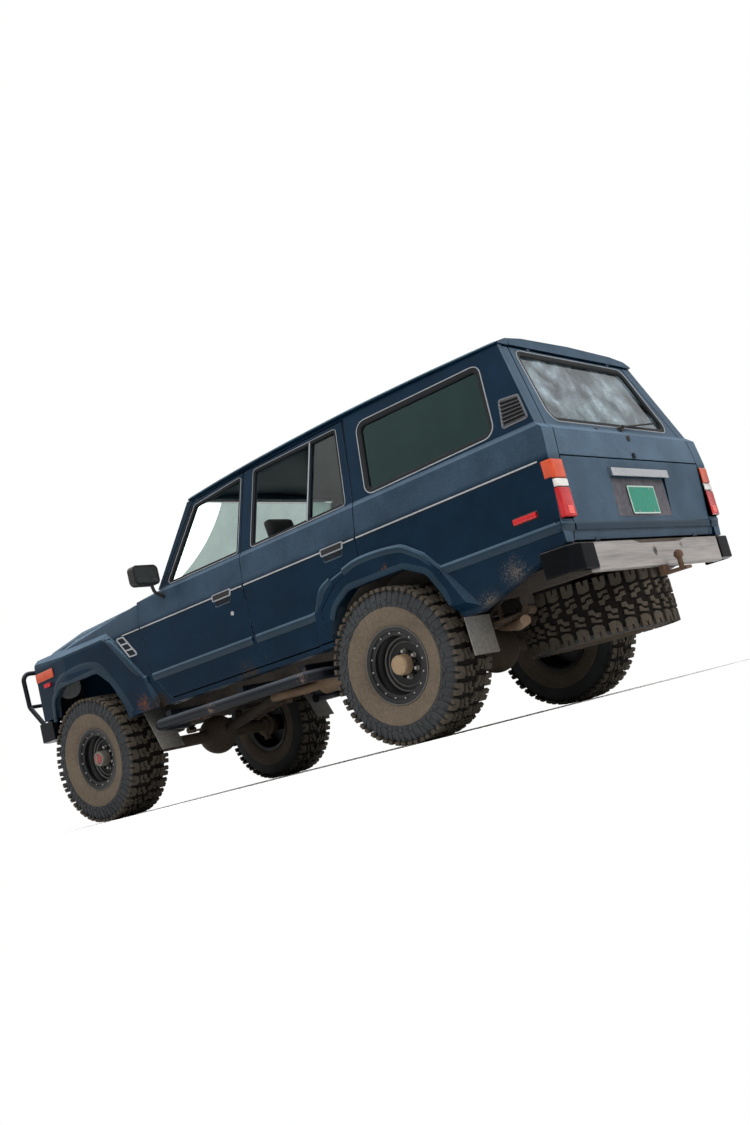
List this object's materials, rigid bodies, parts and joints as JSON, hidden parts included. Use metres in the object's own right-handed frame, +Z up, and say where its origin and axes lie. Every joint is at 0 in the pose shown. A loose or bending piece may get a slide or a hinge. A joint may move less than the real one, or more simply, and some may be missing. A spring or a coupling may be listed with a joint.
{
  "type": "off-road estate car",
  "caption": "Lifted five-door off-road estate car with mud tyres, turning and steering wheels, opening doors, bonnet, hatch and tailgate.",
  "frame": {"origin": "bottom centre of the whole box, on the ground", "axes": "+X forward, +Y to the car's left, +Z up"},
  "size_m": [4.865, 2.176, 1.9359],
  "materials": {
    "body_paint": "weathered satin",
    "black_paint": "satin",
    "chassis_paint": "dusty matt",
    "bright_beam": "dented and dull",
    "chrome_trim": "polished",
    "black_plastic": "matt",
    "flap_rubber": "dusty matt",
    "tyre": "dusty matt",
    "rim_paint": "satin",
    "clear_glass": "clear",
    "tinted_glass": "dark tint",
    "amber_lens": "gloss",
    "red_lens": "gloss",
    "lamp_glass": "clear",
    "seat_cloth": "woven",
    "dash_plastic": "grained",
    "iron": "oily",
    "spring_steel": "rust flecked",
    "exhaust_steel": "heat stained",
    "ball_steel": "worn"
  },
  "bodies": {
    "car": {"body_sides": "body_paint", "roof_panel": "body_paint", "front_wings": "body_paint", "cowl_panel": "body_paint", "grille_panel": "black_plastic", "windscreen": "clear_glass", "quarter_glass": "tinted_glass", "tail_lamps": "red_lens", "corner_lamps": "amber_lens", "head_lamps": "lamp_glass", "front_bumper": "black_paint", "rear_bumper": "bright_beam", "rear_bumper_ends": "black_plastic", "frame": "chassis_paint", "floor_pan": "chassis_paint", "side_steps": "black_paint", "mud_flaps": "flap_rubber", "axles": "iron", "spare_wheel": "tyre", "leaf_springs": "spring_steel", "engine": "iron", "seats": "seat_cloth", "tow_ball": "ball_steel", "dashboard": "dash_plastic", "prop_shafts": "chassis_paint", "shock_absorbers": "chassis_paint", "fuel_tank": "chassis_paint", "exhaust": "exhaust_steel", "hinges": "black_paint"},
    "door_front_left_body": {"door_front_left": "body_paint", "mirror_left": "black_plastic"},
    "door_front_right_body": {"door_front_right": "body_paint", "mirror_right": "black_plastic", "door_glass_front_right": "clear_glass"},
    "door_rear_left_body": {"door_rear_left": "body_paint", "door_glass_rear_left": "clear_glass"},
    "door_rear_right_body": {"door_rear_right": "body_paint", "door_glass_rear_right": "clear_glass"},
    "bonnet_body": {"bonnet": "body_paint"},
    "hatch_body": {"hatch": "body_paint", "hatch_glass": "clear_glass"},
    "tailgate_body": {"tailgate": "body_paint", "tailgate_handle": "chrome_trim"},
    "knuckle_left_body": {"knuckle_left": "iron"},
    "knuckle_right_body": {"knuckle_right": "iron"},
    "wheel_front_left": {"tyre_front_left": "tyre", "rim_front_left": "rim_paint"},
    "wheel_front_right": {"tyre_front_right": "tyre", "rim_front_right": "rim_paint"},
    "wheel_rear_left": {"tyre_rear_left": "tyre", "rim_rear_left": "rim_paint"},
    "wheel_rear_right": {"tyre_rear_right": "tyre", "rim_rear_right": "rim_paint"},
    "steering_wheel_body": {"steering_wheel": "black_plastic"}
  },
  "joints": [
    {"name": "door_front_left_hinge", "type": "hinge", "parent": "car", "child": "door_front_left_body", "pos_m": [0.9105, 0.88, 1.152], "axis": [-0.1049, 0.034, -0.9939], "range_deg": [0, 65]},
    {"name": "door_front_right_hinge", "type": "hinge", "parent": "car", "child": "door_front_right_body", "pos_m": [0.9105, -0.88, 1.152], "axis": [0.1049, 0.034, 0.9939], "range_deg": [0, 65]},
    {"name": "door_rear_left_hinge", "type": "hinge", "parent": "car", "child": "door_rear_left_body", "pos_m": [-0.1075, 0.88, 1.152], "axis": [-0.0217, 0.0341, -0.9992], "range_deg": [0, 65]},
    {"name": "door_rear_right_hinge", "type": "hinge", "parent": "car", "child": "door_rear_right_body", "pos_m": [-0.1075, -0.88, 1.152], "axis": [0.0217, 0.0341, 0.9992], "range_deg": [0, 65]},
    {"name": "bonnet_hinge", "type": "hinge", "parent": "car", "child": "bonnet_body", "pos_m": [0.9485, 0, 1.343], "axis": [0, -1, 0], "range_deg": [0, 55]},
    {"name": "hatch_hinge", "type": "hinge", "parent": "car", "child": "hatch_body", "pos_m": [-2.1085, 0, 1.8368], "axis": [0, 1, 0], "range_deg": [0, 80]},
    {"name": "tailgate_hinge", "type": "hinge", "parent": "car", "child": "tailgate_body", "pos_m": [-2.2645, 0, 0.748], "axis": [0, -1, 0], "range_deg": [0, 90]},
    {"name": "steer_left", "type": "hinge", "parent": "car", "child": "knuckle_left_body", "pos_m": [1.5975, 0.665, 0.42], "axis": [0, 0, 1], "range_deg": [-28, 28]},
    {"name": "steer_right", "type": "hinge", "parent": "car", "child": "knuckle_right_body", "pos_m": [1.5975, -0.665, 0.42], "axis": [0, 0, 1], "range_deg": [-28, 28]},
    {"name": "steering_wheel_turn", "type": "hinge", "parent": "car", "child": "steering_wheel_body", "pos_m": [0.3375, 0.38, 1.26], "axis": [-0.8829, 0, 0.4695], "range_deg": [-448, 448]},
    {"name": "spin_front_left", "type": "hinge", "parent": "knuckle_left_body", "child": "wheel_front_left", "pos_m": [1.5975, 0.805, 0.42], "axis": [0, 1, 0], "continuous": true},
    {"name": "spin_front_right", "type": "hinge", "parent": "knuckle_right_body", "child": "wheel_front_right", "pos_m": [1.5975, -0.805, 0.42], "axis": [0, 1, 0], "continuous": true},
    {"name": "spin_rear_left", "type": "hinge", "parent": "car", "child": "wheel_rear_left", "pos_m": [-1.1325, 0.805, 0.42], "axis": [0, 1, 0], "continuous": true},
    {"name": "spin_rear_right", "type": "hinge", "parent": "car", "child": "wheel_rear_right", "pos_m": [-1.1325, -0.805, 0.42], "axis": [0, 1, 0], "continuous": true}
  ],
  "couplings": [
    {"joint": "steer_right", "follows": "steer_left", "ratio": 1},
    {"joint": "steering_wheel_turn", "follows": "steer_left", "ratio": 16}
  ]
}
